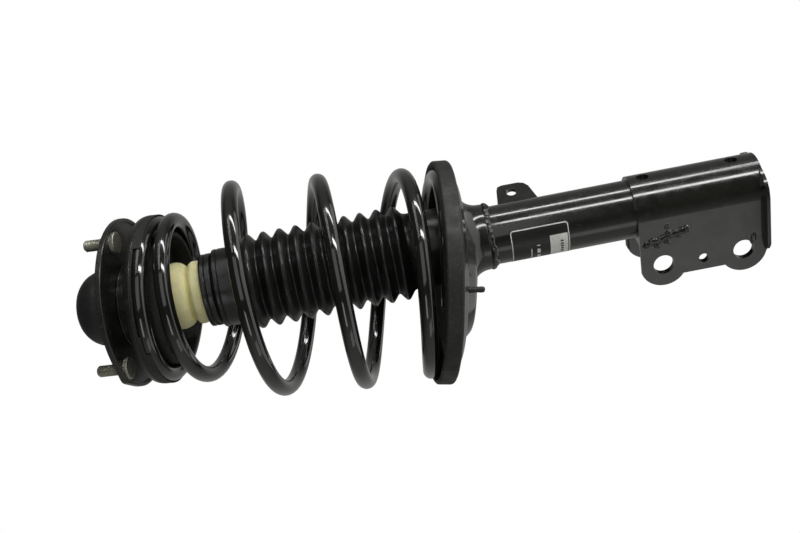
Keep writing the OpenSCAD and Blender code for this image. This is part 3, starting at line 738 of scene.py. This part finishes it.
cols = 168
levels = 126
outside = TUBE_R + 0.16
bm = bmesh.new()
grid = []
for i in range(cols + 1):
    a = math.radians(LABEL_FROM + LABEL_ARC * i / cols)
    x, y = outside * math.cos(a), outside * math.sin(a)
    grid.append([bm.verts.new(Vector((x, y, LABEL_LOW + LABEL_H * j / levels)) * MM)
                 for j in range(levels + 1)])
for i in range(cols):
    for j in range(levels):
        s = math.radians(LABEL_ARC * (cols - i - 0.5) / cols) * TUBE_R
        f = bm.faces.new((grid[i][j], grid[i + 1][j], grid[i + 1][j + 1], grid[i][j + 1]))
        f.material_index = label_kind(s, LABEL_H * (j + 0.5) / levels)
bmesh.ops.recalc_face_normals(bm, faces=bm.faces)
film = bpy.data.meshes.new("label_print")
bm.to_mesh(film)
bm.free()
piece("label_print", film, "label_film", "strut_body", ("tube_label",), weighted=False,
      mats=[FINISH["label_film"], LABEL_WHITE])

# ---------------------------------------------------------------- camera, floor and light

VIEW_TURN = math.radians(29)
VIEW_ROLL = math.radians(10.92)
DISTANCE = 1.048  # from the camera to the middle of the view, metres
along = Vector((math.cos(VIEW_TURN), math.sin(VIEW_TURN), 0))
back = Vector((-math.sin(VIEW_TURN), math.cos(VIEW_TURN), 0))
axis = Vector((0, 0, 1))
right = -math.cos(VIEW_ROLL) * axis + math.sin(VIEW_ROLL) * along
up = -math.sin(VIEW_ROLL) * axis - math.cos(VIEW_ROLL) * along
middle = along * 0.0112 + Vector((0, 0, -0.2355))

camera = bpy.data.objects.new("Camera", bpy.data.cameras.new("Camera"))
camera.data.lens = 54.5
camera.data.sensor_width = 36.0
facing = Matrix((right, up, back)).transposed().to_4x4()
camera.matrix_world = Matrix.Translation(middle + back * DISTANCE) @ facing
bpy.context.scene.collection.objects.link(camera)
bpy.context.scene.camera = camera


def strip(name, turn, shift, distance, length, width, power):
    """A soft light along the damper, turned from the camera's line towards the picture's upper side."""
    way = back * math.cos(math.radians(turn)) - along * math.sin(math.radians(turn))
    where = middle + way * distance + axis * shift
    data = bpy.data.lights.new(name, "AREA")
    data.shape = "RECTANGLE"
    data.size = length
    data.size_y = width
    data.energy = power
    obj = bpy.data.objects.new(name, data)
    z = (where - middle).normalized()
    x = (axis - z * axis.dot(z)).normalized()
    obj.matrix_world = Matrix.Translation(where) @ Matrix((x, z.cross(x), z)).transposed().to_4x4()
    bpy.context.scene.collection.objects.link(obj)


strip("MainStrip", 42, -0.75, 1.5, 1.15, 0.20, 10)
strip("UpperStrip", 78, -0.60, 1.5, 1.45, 0.16, 9)
for number, shift in enumerate((0.26, 0.46, 0.66)):
    strip("CoilStrip%d" % number, 60, shift, 1.35, 0.04, 1.05, 0.8)
strip("WideKey", 12, 0.35, 1.9, 1.5, 1.5, 5.0)
strip("LowFill", -62, -0.35, 1.7, 0.9, 0.5, 0.8)
strip("LowStrip", -34, 0.42, 1.4, 0.42, 0.62, 1.3)

floor_mesh = bpy.data.meshes.new("Floor")
FLOOR_Z = -1.3
FLOOR_HALF = 1.1
corners = [(x * FLOOR_HALF, y * FLOOR_HALF, FLOOR_Z) for x, y in ((-1, -1), (1, -1), (1, 1), (-1, 1))]
floor_mesh.from_pydata(corners, [], [(0, 1, 2, 3)])
floor_mesh.materials.append(material("floor_paper", (0.86, 0.86, 0.85), 0.7, vary=0.05, vary_scale=12,
                                     grain=((60, 0.1),)))
paper_bsdf = floor_mesh.materials[0].node_tree.nodes["Principled BSDF"]
paper_bsdf.inputs["Emission Color"].default_value = (1, 1, 0.98, 1)
paper_bsdf.inputs["Emission Strength"].default_value = 0.55
floor = bpy.data.objects.new("Floor", floor_mesh)
bpy.context.scene.collection.objects.link(floor)

world = bpy.data.worlds.new("Studio")
bpy.context.scene.world = world
world.use_nodes = True
wn = world.node_tree.nodes
wl = world.node_tree.links
wn.clear()
ways = wn.new("ShaderNodeTexCoord")


def toward(direction, low, high, amount):
    dot = wn.new("ShaderNodeVectorMath")
    dot.operation = "DOT_PRODUCT"
    dot.inputs[1].default_value = direction
    wl.new(ways.outputs["Generated"], dot.inputs[0])
    r = wn.new("ShaderNodeMapRange")
    r.interpolation_type = "SMOOTHSTEP"
    for key, v in (("From Min", low), ("From Max", high), ("To Min", 0.0), ("To Max", amount)):
        r.inputs[key].default_value = v
    wl.new(dot.outputs["Value"], r.inputs["Value"])
    return r.outputs["Result"]


total = None
for part in (toward(-back, 0.3, 1.0, 0.26), toward(along, 0.3, 1.0, 0.24), toward(-along, 0.6, 1.0, 0.16),
             toward(back, -1.0, 0.2, 0.05)):
    if total is None:
        total = part
        continue
    add = wn.new("ShaderNodeMath")
    wl.new(total, add.inputs[0])
    wl.new(part, add.inputs[1])
    total = add.outputs["Value"]
room = wn.new("ShaderNodeBackground")
paper = wn.new("ShaderNodeBackground")
seen = wn.new("ShaderNodeLightPath")
room.inputs["Color"].default_value = (1.0, 0.995, 0.97, 1)
wl.new(total, room.inputs["Strength"])
paper.inputs["Color"].default_value = (1, 1, 1, 1)
paper.inputs["Strength"].default_value = 1.0
choose = wn.new("ShaderNodeMixShader")
end = wn.new("ShaderNodeOutputWorld")
wl.new(seen.outputs["Is Camera Ray"], choose.inputs["Fac"])
wl.new(room.outputs["Background"], choose.inputs[1])
wl.new(paper.outputs["Background"], choose.inputs[2])
wl.new(choose.outputs["Shader"], end.inputs["Surface"])

bpy.context.scene.view_settings.view_transform = "Standard"
bpy.context.scene.view_settings.look = "None"
